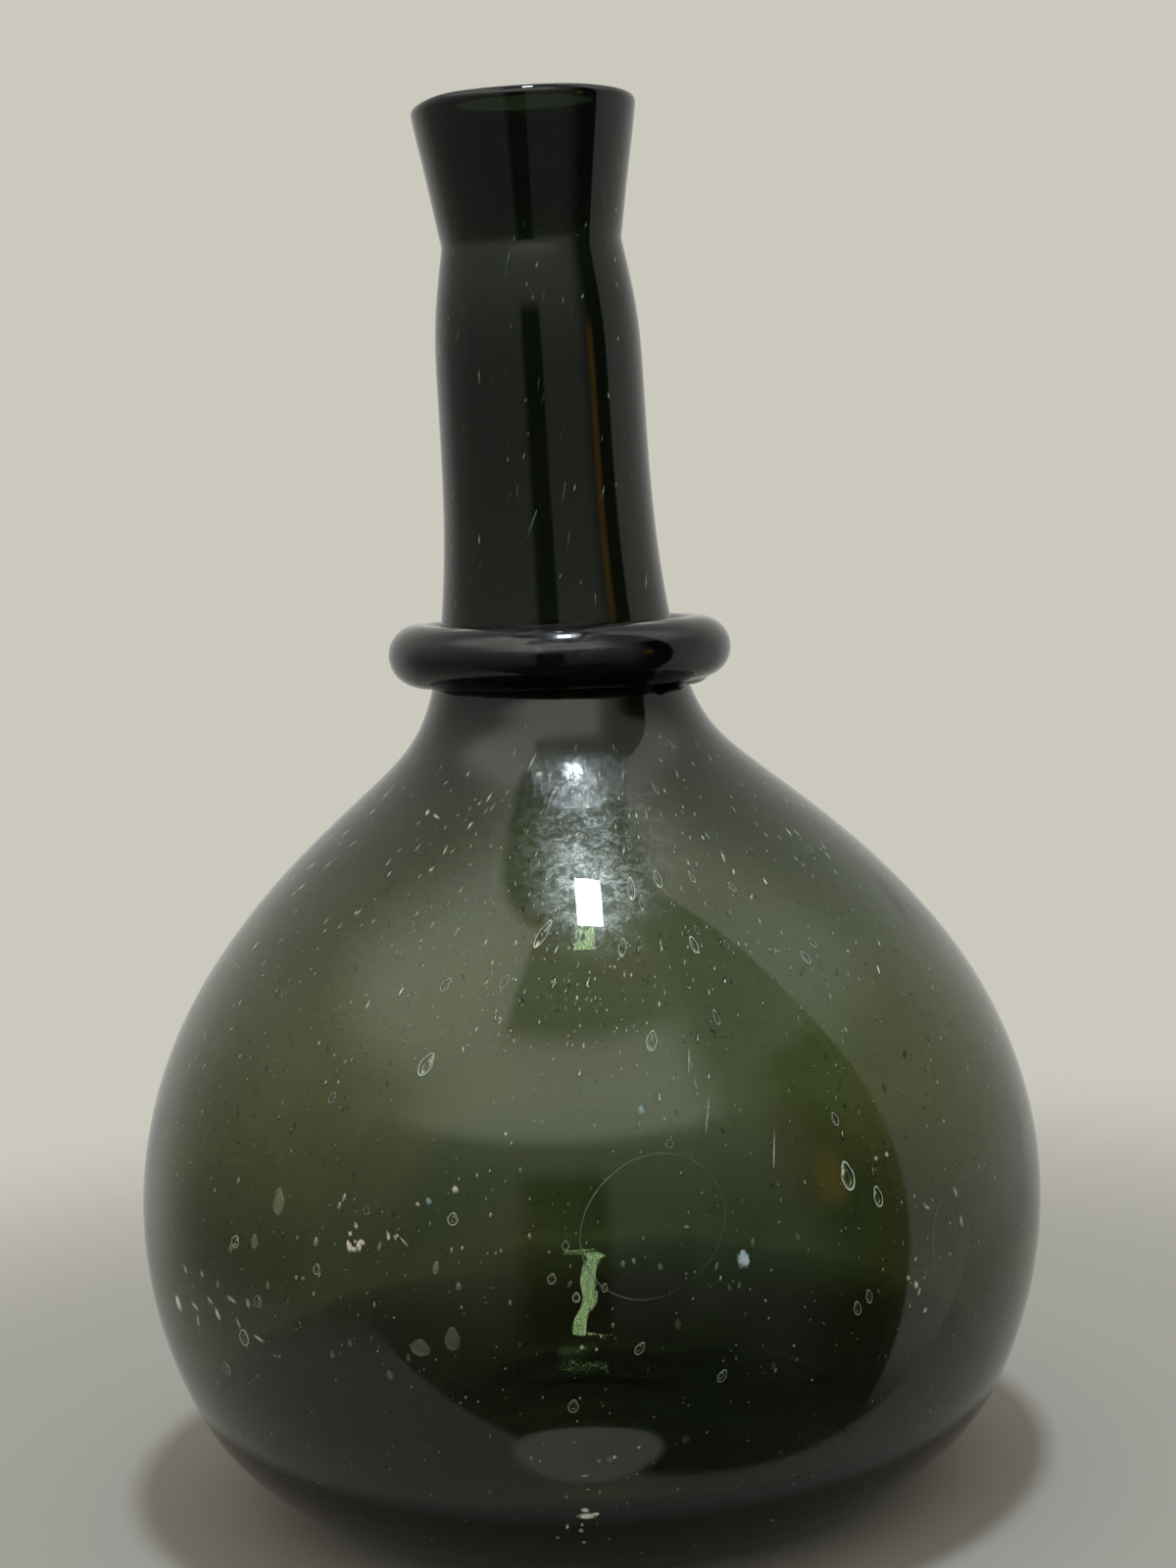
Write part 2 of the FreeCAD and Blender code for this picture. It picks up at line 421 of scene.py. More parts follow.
def noise(tree, place, scale, detail=2.0, distortion=0.0, roughness=0.5):
    pattern = add_node(tree, "ShaderNodeTexNoise", {"Vector": place, "Scale": scale, "Detail": detail,
                                                    "Distortion": distortion, "Roughness": roughness})
    return pattern.outputs["Fac"]


def stretched(tree, place, shares):
    return add_node(tree, "ShaderNodeMapping", {"Vector": place, "Scale": shares}).outputs["Vector"]


def patches(tree, place, scale, fades, **grain):
    """Noise that fades in between two values, with one scale all ways or one for each axis."""
    if isinstance(scale, tuple):
        place, scale = stretched(tree, place, scale), 1.0
    return smooth_step(tree, noise(tree, place, scale, **grain), *fades)


SPOT_CORE = 0.25


def spot(tree, place, middle, reach):
    """One at the middle of a spot, fading to nothing at its reach."""
    away = add_node(tree, "ShaderNodeVectorMath", {0: place, 1: middle}, operation="DISTANCE")
    return smooth_step(tree, away.outputs["Value"], reach, reach * SPOT_CORE)


def mix_colours(tree, share, first, second):
    mix = add_node(tree, "ShaderNodeMix", {0: share, 6: first, 7: second}, data_type="RGBA")
    return mix.outputs[2]


def lay_over(tree, first, second):
    """One colour as it is seen through another."""
    mix = add_node(tree, "ShaderNodeMix", {0: 1.0, 6: first, 7: second}, data_type="RGBA",
                   blend_type="MULTIPLY")
    return mix.outputs[2]


def ramp(tree, value, stops, span):
    """A colour from a list of (value, colour), each value a share of a span."""
    band = add_node(tree, "ShaderNodeValToRGB", {"Fac": math_of(tree, "DIVIDE", value, span)})
    elements = band.color_ramp.elements
    while len(elements) < len(stops):
        elements.new(1.0)
    for element, (at, colour) in zip(elements, stops):
        element.position = at / span
        element.color = (*colour, 1)
    return band.outputs["Color"]


def new_material(name):
    material = bpy.data.materials.new(name)
    material.use_nodes = True
    tree = material.node_tree
    place = add_node(tree, "ShaderNodeTexCoord", {}).outputs["Object"]
    return material, tree, tree.nodes["Principled BSDF"], place


# Glass: the colour that is left of light, and how soon
GLASS_KEPT = (0.25, 0.345, 0.0875, 1)
GLASS_DENSITY = 400
RING_DENSITY = GLASS_DENSITY * 2.5
SCAR_DENSITY = GLASS_DENSITY / 2
GLASS_IOR = 1.5

# Thin film in patches: its colours, how it is patterned, and its scale
AMBER_FILM = (0.88, 0.80, 0.55, 1)
TEAL_FILM = (0.66, 0.80, 0.74, 1)
CLEAR = (1, 1, 1, 1)
FILM_TONES = dict(fades=(0.42, 0.58))
FILM_PATCHES = dict(detail=3.0, distortion=0.6, fades=(0.40, 0.68))
TONE_SHARE = 0.6
VESSEL_FILM = 16.0
RING_FILM = 60.0

# How the glass darkens towards the base and the mouth, where it is thickest, with a band of painted shade
# under the ring (heights about 151 to 174) and a painted highlight line, clearer glass, at the very top of
# the lip: height, colour let through
TINTS_AND_PAINTED_LIGHT = (
    (0, (0.42, 0.42, 0.36)), (32, (0.54, 0.54, 0.43)), (60, (0.84, 0.82, 0.66)), (88, (0.95, 0.94, 0.80)),
    (112, (1.0, 1.0, 1.0)), (138, (0.94, 0.96, 0.94)), (151, (0.56, 0.60, 0.56)),
    (158, (0.24, 0.25, 0.20)), (164, (0.20, 0.22, 0.18)), (174, (0.46, 0.52, 0.46)),
    (240, (0.36, 0.44, 0.38)), (252, (0.13, 0.18, 0.14)), (274, (0.05, 0.08, 0.06)),
    (275, (0.80, 0.86, 0.80)),
)
TINT_SPAN = 275

# Wear. A pattern's shares are how much of it there is, and how much is there without it
# Haze of fine scratches on the shoulder
SWIRLS = dict(scale=360.0, detail=12.0, distortion=0.8, roughness=0.74, fades=(0.40, 0.62))
HAIRS = dict(scale=(1000, 1000, 2200), detail=4.0, distortion=1.6, fades=(0.36, 0.64))
HAIR_SHARES = (0.8, 0.2)
HAZE_SHARES = (1.9, 0.24)
SCUFF_STRETCH = (1.35, 1.0, 1.0)
SCUFF_REACH = 29.0
# Rubs round the belly, over and under its height
RUBS = dict(scale=(60, 60, 500), detail=5.0, distortion=1.0, fades=(0.60, 0.72))
RUB_HEIGHT = 58.0
RUB_FADES = (30.0, 4.0)
RUB_SHARE = 0.3
# Hairlines up the neck
HAIRLINES = dict(scale=(700, 700, 50), detail=2.0, distortion=0.4, fades=(0.70, 0.76))
HAIRLINE_FADES = (172.0, 190.0)
HAIRLINE_SHARE = 0.35
WORN_ROUGHNESS = 0.31
# Grains on the base that it stands on
GRAINS = dict(scale=1500.0, detail=3.0, fades=(0.35, 0.65))
GRAIN_FADES = (1.4, 0.1)
GRAIN_ROUGHNESS = 0.5
# The spot at the top of the shoulder that is scraped matt
STROKES = dict(scale=(1900, 1900, 700), detail=3.0, distortion=1.2, fades=(0.40, 0.60))
STROKE_SHARES = (0.7, 0.5)
SCRAPE_REACH = 12.0
SCRAPE_ROUGHNESS = 0.11
SCRATCH_DEPTH = 0.04

# The ring's own tint, rubs and scuffs
RING_TINT = (0.42, 0.46, 0.36, 1)
RING_RUBS = dict(scale=(150, 150, 900), detail=4.0, distortion=0.8, fades=(0.58, 0.74))
RING_RUB_SHARE = 0.2
RING_SCUFFS = dict(scale=(250, 250, 900), detail=5.0, distortion=1.2, fades=(0.35, 0.65))
RING_SCUFF_RISE = 5.0
RING_SCUFF_REACH = 13.0
RING_WORN_ROUGHNESS = 0.22
RING_SPECULAR = 0.2

# The scar's broken glass
SCAR_DIRT = dict(scale=320.0, detail=5.0, distortion=0.5, fades=(0.4, 0.65))
SCAR_CLEAN = (0.95, 0.96, 0.9, 1)
SCAR_DIRTY = (0.75, 0.72, 0.6, 1)
SCAR_GRAINS = dict(scale=700.0, detail=4.0, fades=(0.3, 0.7))
SCAR_ROUGHNESS = (0.3, 0.25)

# Pockets of air
SILVER_SCALE = 500.0
SILVER = (0.98, 1.0, 0.98, 1)
GREEN_SILVER = (0.86, 0.92, 0.88, 1)
AIR_ROUGHNESS = 0.2
AIR_IOR = 1.0

# Dust, stones and crust: how they are grained, how rough they are, their two colours. The dust's pale
# colour also paints the bright seed rims and glints
STONE_GRAINS = dict(scale=1400.0, detail=4.0, distortion=0.6, fades=(0.35, 0.65))
STONE_ROUGHNESS = (0.3, 0.5)
PAINTED_DEPTH_SHADE = (0.07, 0.09, 0.06, 1)
DUST_AND_GLINT_COLOURS = ((0.80, 0.84, 0.74, 1), (0.52, 0.57, 0.48, 1))
STONE_COLOURS = ((0.42, 0.54, 0.58, 1), (0.27, 0.37, 0.41, 1))
CRUST_COLOURS = ((0.72, 0.68, 0.58, 1), (0.40, 0.35, 0.27, 1))


def make_glass(tree, skin, density):
    """Clear glass that takes its colour from the depth that light goes through."""
    skin.inputs["IOR"].default_value = GLASS_IOR
    skin.inputs["Transmission Weight"].default_value = 1.0
    depth = add_node(tree, "ShaderNodeVolumeAbsorption", {"Color": GLASS_KEPT, "Density": density})
    tree.links.new(depth.outputs["Volume"], tree.nodes["Material Output"].inputs["Volume"])


def film(tree, place, scale):
    """A thin film in patches, amber in some and teal in others."""
    tone = patches(tree, place, scale * TONE_SHARE, **FILM_TONES)
    share = patches(tree, place, scale, **FILM_PATCHES)
    return mix_colours(tree, share, CLEAR, mix_colours(tree, tone, AMBER_FILM, TEAL_FILM))


def fade_in(tree, distance, fades):
    """None at one distance in millimetres and one at another."""
    none, full = fades
    return smooth_step(tree, distance, none * MM, full * MM)


def vessel_glass(scuffed, scraped):
    """Old bottle glass: a thin film in patches, a tint by height with painted shade under the ring and a
    painted highlight at the lip's top, scuffs on the shoulder and round the belly, a worn base.
    """
    material, tree, skin, place = new_material("olive_bottle_glass")
    make_glass(tree, skin, GLASS_DENSITY)
    height = add_node(tree, "ShaderNodeSeparateXYZ", {"Vector": place}).outputs["Z"]

    # Tint by height, holding the painted shade under the ring and the painted highlight line at the lip's
    # top
    depth = ramp(tree, math_of(tree, "DIVIDE", height, MM), TINTS_AND_PAINTED_LIGHT, TINT_SPAN)
    tree.links.new(lay_over(tree, film(tree, place, VESSEL_FILM), depth), skin.inputs["Base Color"])

    hairs = scaled(tree, patches(tree, place, **HAIRS), *HAIR_SHARES)
    haze = scaled(tree, times(tree, patches(tree, place, **SWIRLS), hairs), *HAZE_SHARES)
    narrow = stretched(tree, place, SCUFF_STRETCH)
    middle = Vector(scuffed) * Vector(SCUFF_STRETCH)
    patch = times(tree, spot(tree, narrow, middle, SCUFF_REACH * MM), haze)

    from_belly = math_of(tree, "ABSOLUTE", math_of(tree, "SUBTRACT", height, RUB_HEIGHT * MM))
    near_belly = fade_in(tree, from_belly, RUB_FADES)
    rubbed = times(tree, near_belly, patches(tree, place, **RUBS), RUB_SHARE)
    on_neck = fade_in(tree, height, HAIRLINE_FADES)
    lines = times(tree, patches(tree, place, **HAIRLINES), on_neck, HAIRLINE_SHARE)
    worn = math_of(tree, "MAXIMUM", math_of(tree, "MAXIMUM", patch, rubbed), lines)
    tree.links.new(worn, skin.inputs["Coat Weight"])
    skin.inputs["Coat Roughness"].default_value = WORN_ROUGHNESS

    on_base = fade_in(tree, height, GRAIN_FADES)
    base = times(tree, on_base, patches(tree, place, **GRAINS), GRAIN_ROUGHNESS)
    strokes = patches(tree, place, **STROKES)
    scraped_spot = spot(tree, place, scraped, SCRAPE_REACH * MM)
    deep = scaled(tree, strokes, *STROKE_SHARES)
    scraping = times(tree, scraped_spot, deep, SCRAPE_ROUGHNESS)
    tree.links.new(math_of(tree, "MAXIMUM", base, scraping), skin.inputs["Roughness"])
    scratches = add_node(tree, "ShaderNodeBump", {"Height": times(tree, strokes, scraped_spot),
                                                  "Strength": 1.0, "Distance": SCRATCH_DEPTH * MM})
    tree.links.new(scratches.outputs["Normal"], skin.inputs["Normal"])
    return material


def ring_glass():
    material, tree, skin, place = new_material("ring_trail_glass")
    make_glass(tree, skin, RING_DENSITY)
    tree.links.new(lay_over(tree, film(tree, place, RING_FILM), RING_TINT), skin.inputs["Base Color"])
    middle = round_neck(0, RING_RADIUS, RING_Z + RING_SCUFF_RISE)
    scuffed_spot = spot(tree, place, middle, RING_SCUFF_REACH * MM)
    scuffed = times(tree, scuffed_spot, patches(tree, place, **RING_SCUFFS))
    rubbed = times(tree, patches(tree, place, **RING_RUBS), RING_RUB_SHARE)
    tree.links.new(math_of(tree, "MAXIMUM", rubbed, scuffed), skin.inputs["Coat Weight"])
    skin.inputs["Coat Roughness"].default_value = RING_WORN_ROUGHNESS
    skin.inputs["Roughness"].default_value = 0.0
    skin.inputs["Specular IOR Level"].default_value = RING_SPECULAR
    return material


def scar_glass():
    material, tree, skin, place = new_material("broken_scar_glass")
    make_glass(tree, skin, SCAR_DENSITY)
    dirt = patches(tree, place, **SCAR_DIRT)
    tree.links.new(mix_colours(tree, dirt, SCAR_CLEAN, SCAR_DIRTY), skin.inputs["Base Color"])
    grains = patches(tree, place, **SCAR_GRAINS)
    tree.links.new(scaled(tree, grains, *SCAR_ROUGHNESS), skin.inputs["Roughness"])
    return material


def shine_of(tree):
    """How much a copy shines, from the attribute that its mesh keeps."""
    return add_node(tree, "ShaderNodeAttribute", {}, attribute_name="shine").outputs["Fac"]


def bubble_skin():
    """The skin of a pocket of air: clear to look through, and silvery where it shines."""
    material, tree, skin, place = new_material("bubble_skin")
    silver = mix_colours(tree, noise(tree, place, SILVER_SCALE), SILVER, GREEN_SILVER)
    tree.links.new(silver, skin.inputs["Base Color"])
    tree.links.new(shine_of(tree), skin.inputs["Metallic"])
    skin.inputs["Transmission Weight"].default_value = 1.0
    skin.inputs["Roughness"].default_value = AIR_ROUGHNESS
    skin.inputs["IOR"].default_value = AIR_IOR
    return material


def stone_crust(name, pale, dark):
    """Chalky and grained, and darkened towards a dark green where it shines less: painted shade, as if it
    lay deeper in the glass.
    """
    material, tree, skin, place = new_material(name)
    grains = patches(tree, place, **STONE_GRAINS)
    grained = mix_colours(tree, grains, pale, dark)
    tree.links.new(mix_colours(tree, shine_of(tree), PAINTED_DEPTH_SHADE, grained), skin.inputs["Base Color"])
    tree.links.new(scaled(tree, grains, *STONE_ROUGHNESS), skin.inputs["Roughness"])
    return material


def finish_piece(piece, slot, material, *nodes):
    """Give a piece its finish, and say what carries it and which nodes it stands for."""
    piece.data.materials.clear()
    piece.data.materials.append(material)
    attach(piece, BODY)
    if nodes:
        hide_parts(*nodes)


# Camera
camera_data = bpy.data.cameras.new("camera")
camera_data.sensor_width = SENSOR
camera_data.lens = FOCAL_PIXELS * SENSOR / PICTURE_HEIGHT
camera = bpy.data.objects.new("camera", camera_data)
bpy.context.scene.collection.objects.link(camera)
camera.matrix_world = (Matrix.Translation(Vector(CAMERA_PLACE) * MM)
                       @ Matrix.Rotation(math.radians(90 - CAMERA_DIP), 4, "X")
                       @ Matrix.Rotation(math.radians(CAMERA_ROLL), 4, "Z"))
bpy.context.scene.camera = camera

vessel = blow_vessel()

# A radius that is well outside the glass, a step into it, and its thickness where none is found
WELL_OUTSIDE = 200.0
STEP_IN = 0.1
USUAL_WALL = 3.0


def seen_at(pixel):
    """The point of the vessel's outside that a pixel shows, and the way the glass faces there."""
    column, row = pixel
    ray = Vector((column - PICTURE_MIDDLE[0], PICTURE_MIDDLE[1] - row, -FOCAL_PIXELS)).normalized()
    way = camera.matrix_world.to_3x3() @ ray
    hit, place, facing, _ = vessel.ray_cast(camera.matrix_world.translation, way)
    if not hit:
        raise ValueError(f"pixel {pixel} shows no glass")
    return place, facing


def found_at(angle, height):
    """The same for an angle round the axis and a height."""
    out = round_neck(angle, WELL_OUTSIDE, height)
    inward = (Vector((0, 0, out.z)) - out).normalized()
    _, place, facing, _ = vessel.ray_cast(out, inward)
    return place, facing


def wall_at(place, facing):
    hit, far, _, _ = vessel.ray_cast(place - facing * STEP_IN * MM, -facing)
    return (far - place).length if hit else USUAL_WALL * MM


def seat(place, facing, lean, size, depth):
    """Where a copy goes: its axes out of the glass, across and up it, turned by a lean, sunk by a depth."""
    along = (UP - facing * facing.dot(UP)).normalized()
    axes = Matrix((facing, along.cross(facing), along)).transposed()
    turned = Matrix.Rotation(math.radians(lean), 3, facing) @ axes
    sized = turned @ Matrix.Diagonal([length * MM for length in size])
    return Matrix.Translation(place - facing * depth) @ sized.to_4x4()


def let_shine(piece, shine):
    """Keep at each point how much the skin shines there, from none to all."""
    kept = piece.data.attributes.new("shine", "FLOAT", "POINT")
    for vertex in piece.data.vertices:
        kept.data[vertex.index].value = min(max(shine(vertex), 0), 1)


# Seeds of length 1: how fine each is as (segments, rings), how much of its faces is clear, and how its
# end is drawn out
COARSE = (8, 6)
MIDDLING = (12, 8)
FINE = (20, 14)
ALL_BRIGHT = -1.0
CLEAR_FACED = 0.15
EDGE_FADE = 0.25
DRAWN_FROM = 0.2
DRAWN_THIN = 0.78
DRAWN_LONG = 1.06
RIM_TUBE = 0.04
RIM_STEPS = 28
RIM_SIDES = 6

# Lumps of length 1: how fine, how coarse their knobs are and how far these stand out
LUMP_LEVELS = 4
LUMP_GRAIN = 0.4
LUMP_KNOBS = 0.45


def draw_out(piece, thick):
    """Draw one end of a seed or its rim out and in."""
    bpy.ops.object.mode_set(mode="EDIT")
    select_where(piece, lambda place: place.z > DRAWN_FROM)
    bpy.ops.transform.resize(value=(thick, DRAWN_THIN, DRAWN_LONG), center_override=(0, 0, DRAWN_FROM))
    bpy.ops.object.mode_set(mode="OBJECT")
    bpy.ops.object.shade_smooth()


def model_seed(name, fineness, clear):
    """One seed: a bubble drawn out towards one end, its two faces clear and its edge bright."""
    segments, rings = fineness
    by_hand()
    bpy.ops.mesh.primitive_uv_sphere_add(segments=segments, ring_count=rings, radius=0.5)
    seed = named(name)
    draw_out(seed, DRAWN_THIN)
    let_shine(seed, lambda vertex: (1 - abs(vertex.normal.x) - clear) / EDGE_FADE)
    return seed


def model_rim(name):
    """The rim of one seed, drawn out as the seed is: a pale ring, a painted highlight for the seed's bright
    outline.
    """
    by_hand()
    bpy.ops.mesh.primitive_torus_add(major_radius=0.5, minor_radius=RIM_TUBE, major_segments=RIM_STEPS,
                                     minor_segments=RIM_SIDES)
    rim = named(name)
    rim.data.transform(Matrix.Rotation(math.pi / 2, 4, "Y"))
    draw_out(rim, 1)
    let_shine(rim, lambda vertex: 1.0)
    return rim


def model_lump(name):
    """One small lump, knobbly all over."""
    by_hand()
    bpy.ops.mesh.primitive_ico_sphere_add(subdivisions=LUMP_LEVELS, radius=0.5)
    lump = named(name)
    clouds = bpy.data.textures.new(name, "CLOUDS")
    clouds.noise_scale = LUMP_GRAIN
    clouds.noise_depth = 2
    apply_modifier(lump, "DISPLACE", texture=clouds, texture_coords="LOCAL", strength=LUMP_KNOBS,
                   mid_level=0.5)
    bpy.ops.object.shade_smooth()
    let_shine(lump, lambda vertex: 1.0)
    return lump


def set_copies(name, pattern, seats):
    """One piece of many copies of a pattern, each with its own mesh, seat and brightness."""
    copies = []
    for place, bright in seats:
        copy = bpy.data.objects.new(name, pattern.data.copy())
        copy.data.transform(place)
        for shine in copy.data.attributes["shine"].data:
            shine.value *= bright
        bpy.context.scene.collection.objects.link(copy)
        copies.append(copy)
    bpy.data.objects.remove(pattern)
    return join(copies, name)


# Seeds seen singly: pixel, width and length in pixels, lean, how bright the rim is
CLEAR_SEEDS = (
    ((644, 907), 7, 23, -8, 0.9), ((671, 897), 7, 18, -2, 0.7), ((706, 895), 4, 12, 5, 0.8),
    ((655, 921), 5, 15, -8, 0.7), ((708, 964), 7, 17, 2, 0.8), ((711, 949), 4, 9, 4, 0.5),
    ((747, 905), 5, 11, 8, 0.5), ((731, 1038), 5, 15, 4, 0.5), ((665, 1062), 10, 20, -16, 0.7),
    ((554, 953), 9, 29, -27, 0.8), ((600, 928), 6, 16, -20, 0.4), ((588, 943), 6, 12, -18, 0.4),
    ((635, 967), 7, 18, -14, 0.8), ((610, 962), 5, 10, -15, 0.5), ((455, 1005), 8, 14, -28, 0.5),
    ((515, 1002), 6, 14, -25, 0.5), ((568, 932), 5, 11, -22, 0.7), ((642, 863), 4, 9, -5, 0.5),
    ((669, 805), 3, 12, 0, 0.6), ((741, 964), 4, 9, 6, 0.4), ((435, 1086), 12, 24, -24, 0.7),
    ((339, 1120), 6, 11, -25, 0.4), ((462, 1244), 10, 12, -10, 0.7), ((563, 1305), 8, 10, -15, 0.6),
    ((323, 1295), 6, 10, -14, 0.8), ((240, 1267), 7, 12, -22, 0.6), ((249, 1365), 9, 15, -5, 0.7),
    ((231, 1397), 8, 12, -5, 0.3), ((374, 1235), 6, 8, -10, 0.3), ((263, 1328), 7, 11, 0, 0.3),
    ((852, 1142), 6, 13, 6, 0.5), ((865, 1200), 12, 28, 4, 0.8), ((896, 1221), 8, 20, 4, 0.7),
    ((887, 1323), 6, 13, 6, 0.4), ((875, 1335), 7, 13, 8, 0.4), ((653, 1376), 8, 13, -36, 0.5),
    ((737, 1404), 8, 12, -30, 0.4), ((585, 1435), 10, 12, -12, 0.4), ((588, 1324), 7, 9, -5, 0.8),
    ((577, 1271), 7, 9, -8, 0.4), ((683, 1167), 7, 8, 0, 0.4), ((617, 1314), 6, 8, -10, 0.6),
    ((707, 1092), 2, 36, 0, 0.4), ((822, 977), 6, 14, 8, 0.5), ((829, 962), 5, 11, 8, 0.4),
)
CLEAR_THICK = 0.9
CLEAR_COVER = 0.2
CLEAR_BRIGHT = 0.8
RIM_THICK = 1.0
RIM_DEPTH = 0.02
# Seeds that are only a pale spot: pixel, width and length in pixels, lean, how pale
FAINT_SEEDS = (
    ((258, 1267), 8, 16, -8, 0.35), ((234, 1274), 5, 10, -5, 0.3), ((350, 1222), 5, 9, -12, 0.5),
    ((345, 1230), 5, 8, -10, 0.4), ((321, 1267), 6, 10, -12, 0.7), ((444, 1294), 8, 13, -10, 0.4),
    ((461, 1367), 17, 23, -4, 0.3), ((428, 1376), 22, 17, -6, 0.25), ((467, 1313), 7, 8, 0, 0.3),
    ((338, 1383), 5, 8, 0, 0.3), ((356, 1371), 5, 7, 0, 0.25), ((397, 1404), 8, 10, 0, 0.25),
    ((416, 1386), 5, 8, 0, 0.3), ((381, 1332), 4, 6, 0, 0.4), ((301, 1304), 4, 5, 0, 0.5),
    ((308, 1305), 4, 5, 0, 0.4), ((460, 1276), 4, 6, 0, 0.4), ((471, 1274), 4, 5, 0, 0.6),
    ((221, 1311), 5, 8, 0, 0.4), ((272, 1312), 5, 8, 0, 0.35), ((242, 1204), 4, 7, 0, 0.4),
    ((674, 1293), 6, 7, 0, 0.3), ((647, 1287), 5, 6, 0, 0.4), ((636, 1290), 6, 7, 0, 0.3),
    ((769, 1268), 5, 9, -8, 0.35), ((732, 1292), 4, 8, -20, 0.45), ((782, 1328), 4, 4, 0, 0.8),
    ((657, 1264), 3, 4, 0, 0.7), ((745, 1314), 4, 6, 0, 0.35), ((755, 1312), 4, 7, -10, 0.3),
    ((692, 1352), 8, 10, 0, 0.2), ((701, 1252), 7, 4, 0, 0.45), ((283, 1226), 12, 27, 5, 0.3),
    ((594, 1376), 6, 5, 0, 1.0), ((700, 1470), 9, 8, 0, 0.25), ((622, 1490), 8, 8, 0, 0.25),
    ((520, 1330), 5, 6, 0, 0.3), ((540, 1262), 5, 7, 0, 0.4), ((500, 1240), 4, 6, -8, 0.4),
    ((815, 1262), 5, 8, 5, 0.3), ((790, 1395), 6, 8, 0, 0.25),
)
FAINT_THICK = 0.3
FAINT_DEPTH = 0.5
# What spans some pixels is taken to be slanted no more than this
LEAST_SLANT = 0.4

# Scattered seeds: how many on the body and the neck, between which heights, and how far they lean
BODY_RADIUS = 90
SEED_COUNT = 1700
SEED_HEIGHTS = (9.0, 152.0)
NECK_SEEDS = 90
NECK_HEIGHTS = (178.0, 258.0)
TWIST = -13.0
SEED_SWAY = 7
SEED_DRAW = 17
# Their width: the least, what a few have more, how few these are, and what any may have more
SEED_WIDTH = 0.34
SEED_LARGER = 0.6
SEED_FEW = 4
SEED_SPREAD = 0.12
# Their thickness and depth as shares of the wall, and how bright the dimmest is
SEED_THICK = 0.18
SEED_DEPTHS = (0.12, 0.6)
SEED_DIMMEST = 0.5
# How many times longer than wide a seed is, by its height, and how much that varies
DRAWN_OUT = ((0, 1.1), (40, 1.3), (58, 1.6), (90, 2.2), (118, 3.0), (142, 5.0), (180, 6.0), (300, 6.0))
LENGTHS_VARY = (0.6, 1.2)

# Seeds that have worn open: the same, with their depth and how far they stand proud of the glass
OPEN_SEEDS = 1300
OPEN_NECK_SEEDS = 70
OPEN_DEPTH = 0.3
PROUD = 0.04
OPEN_SWAY = 9
OPEN_DRAW = 5
OPEN_WIDTH = 0.22
OPEN_LARGER = 0.3
OPEN_FEW = 3
OPEN_DIMMEST = 0.25
OPEN_BRIGHT_FEW = 1.6
# Where they lie closer: middle and spread of the angle, then of the height, and how many
DRIFTS = (((0.0, 10.0), (113.5, 6.5), 110), ((1.0, 26.0), (115.0, 12.0), 90),
          ((8.0, 32.0), (138.0, 8.0), 110))


def drawn_out(height):
    """How many times longer than wide a seed is, from how far the glass was drawn there."""
    for (low, first), (high, second) in zip(DRAWN_OUT, DRAWN_OUT[1:]):
        if height <= high:
            return first + (second - first) * (height - low) / (high - low)
    return DRAWN_OUT[-1][1]


def any_place(chance):
    """A place on the body, as likely on one patch of its glass as on another."""
    while True:
        height = chance.uniform(*SEED_HEIGHTS)
        place, facing = found_at(chance.uniform(-180, 180), height)
        if place.xy.length > chance.uniform(0, BODY_RADIUS) * MM:
            return place, facing


def in_neck(chance):
    return found_at(chance.uniform(-180, 180), chance.uniform(*NECK_HEIGHTS))


def scattered_seeds():
    """Seeds all through the wall."""
    chance = random.Random(SEED_DRAW)
    seats = []
    for pick, count in ((any_place, SEED_COUNT), (in_neck, NECK_SEEDS)):
        for _ in range(count):
            place, facing = pick(chance)
            larger = SEED_LARGER * chance.random() ** SEED_FEW
            width = SEED_WIDTH + larger + SEED_SPREAD * chance.random()
            length = width * drawn_out(place.z / MM) * chance.uniform(*LENGTHS_VARY)
            wall = wall_at(place, facing)
            size = (min(width, SEED_THICK * wall / MM), width, length)
            depth = wall * chance.uniform(*SEED_DEPTHS)
            bright = SEED_DIMMEST + (1 - SEED_DIMMEST) * chance.random()
            seats.append((seat(place, facing, chance.gauss(TWIST, SEED_SWAY), size, depth), bright))
    return seats


def open_seeds():
    """Seeds that have worn open at the face, and hold pale dust."""
    chance = random.Random(OPEN_DRAW)
    places = [any_place(chance) for _ in range(OPEN_SEEDS)]
    places += [in_neck(chance) for _ in range(OPEN_NECK_SEEDS)]
    for angles, heights, count in DRIFTS:
        places += [found_at(chance.gauss(*angles), chance.gauss(*heights)) for _ in range(count)]
    seats = []
    depth = (OPEN_DEPTH / 2 - PROUD) * MM
    for place, facing in places:
        width = OPEN_WIDTH + OPEN_LARGER * chance.random() ** OPEN_FEW
        size = (OPEN_DEPTH, width, width * drawn_out(place.z / MM) * chance.uniform(*LENGTHS_VARY))
        bright = OPEN_DIMMEST + (1 - OPEN_DIMMEST) * chance.random() ** OPEN_BRIGHT_FEW
        seats.append((seat(place, facing, chance.gauss(TWIST, OPEN_SWAY), size, depth), bright))
    return seats


def spans(place, facing, width, length):
    """The real width and length of what spans so many pixels across and along the glass."""
    sight = place - camera.matrix_world.translation
    pixel = sight.length / FOCAL_PIXELS / MM
    along = (UP - facing * facing.dot(UP)).normalized()
    sizes = []
    for axis, pixels in ((along.cross(facing), width), (along, length)):
        slant = axis.cross(sight.normalized()).length
        sizes.append(pixels * pixel / max(slant, LEAST_SLANT))
    return sizes


